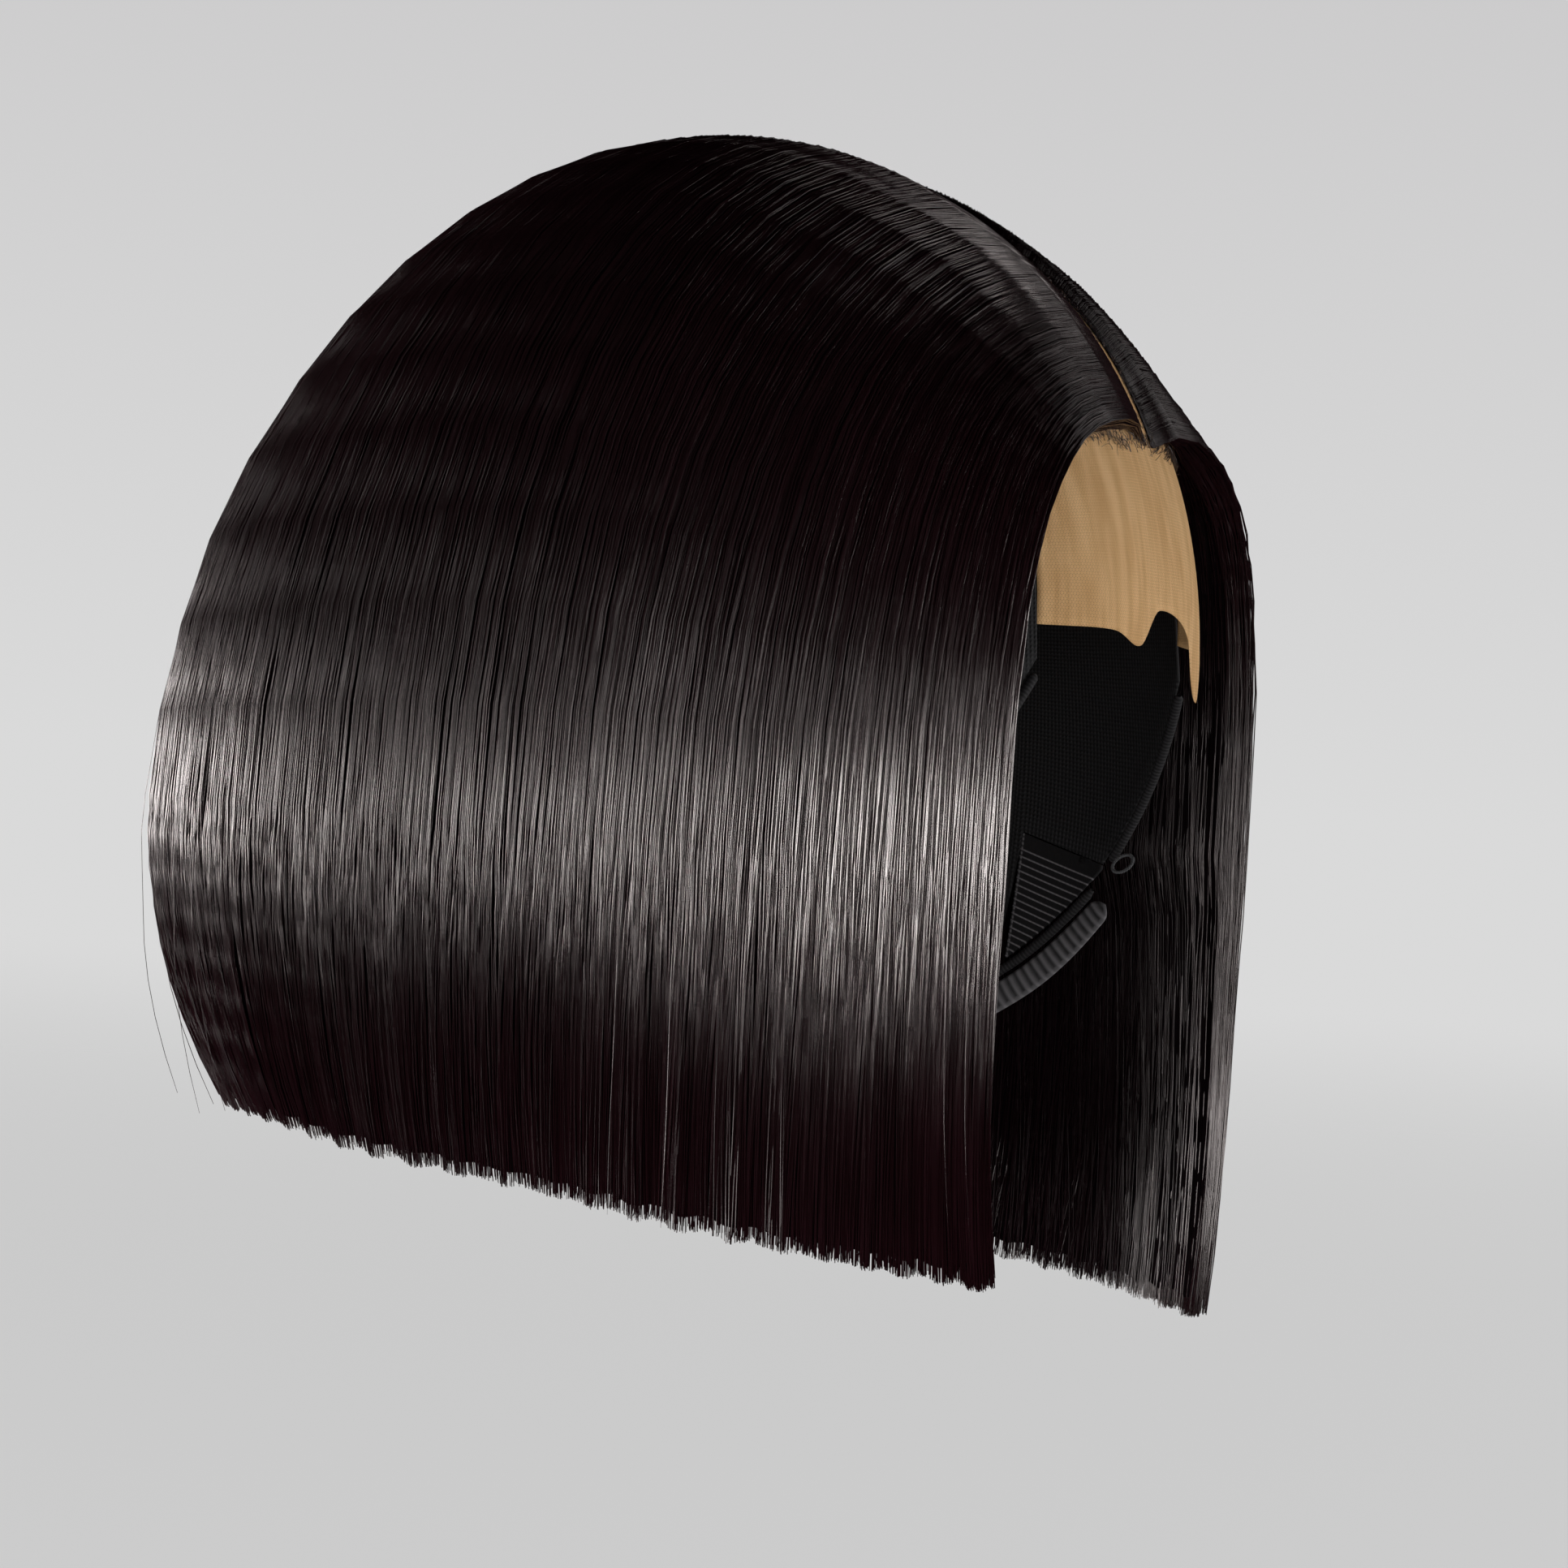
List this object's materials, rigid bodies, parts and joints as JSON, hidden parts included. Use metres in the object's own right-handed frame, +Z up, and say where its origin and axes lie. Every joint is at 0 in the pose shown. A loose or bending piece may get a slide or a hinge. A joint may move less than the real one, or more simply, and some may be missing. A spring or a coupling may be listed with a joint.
{
  "type": "bob wig",
  "caption": "Straight blunt-cut bob wig with a centre part on a stretch cap, with a lace closure, ear gussets and elastic, held as worn and open below.",
  "frame": {"origin": "crown seat: the highest point of the cap's inside, where the wearer's head carries the wig", "axes": "+Z up as worn, -Y the way the wearer faces, +X towards the wearer's left"},
  "size_m": [0.1958, 0.2493, 0.2724],
  "materials": {
    "hair": "straight glossy hair, near black with a brown cast",
    "stretch_mesh": "matt black stretch lace",
    "lace": "fine matt tan lace",
    "striped_elastic": "matt black elastic with fine pale stitched stripes",
    "gathered_elastic": "gathered dark grey elastic",
    "edge_cord": "matt black corded edge",
    "thread": "dark grey twisted thread"
  },
  "bodies": {
    "root": {"hair_right": "hair", "hair_left": "hair", "hair_back": "hair", "cap_dome": "stretch_mesh", "lace_closure": "lace", "ear_panel_right": "striped_elastic", "ear_panel_left": "striped_elastic", "elastic_strap_right": "gathered_elastic", "elastic_strap_left": "gathered_elastic", "face_binding_right": "edge_cord", "face_binding_left": "edge_cord", "nape_binding": "edge_cord", "ear_loop_right": "thread", "ear_loop_left": "thread"}
  },
  "joints": []
}
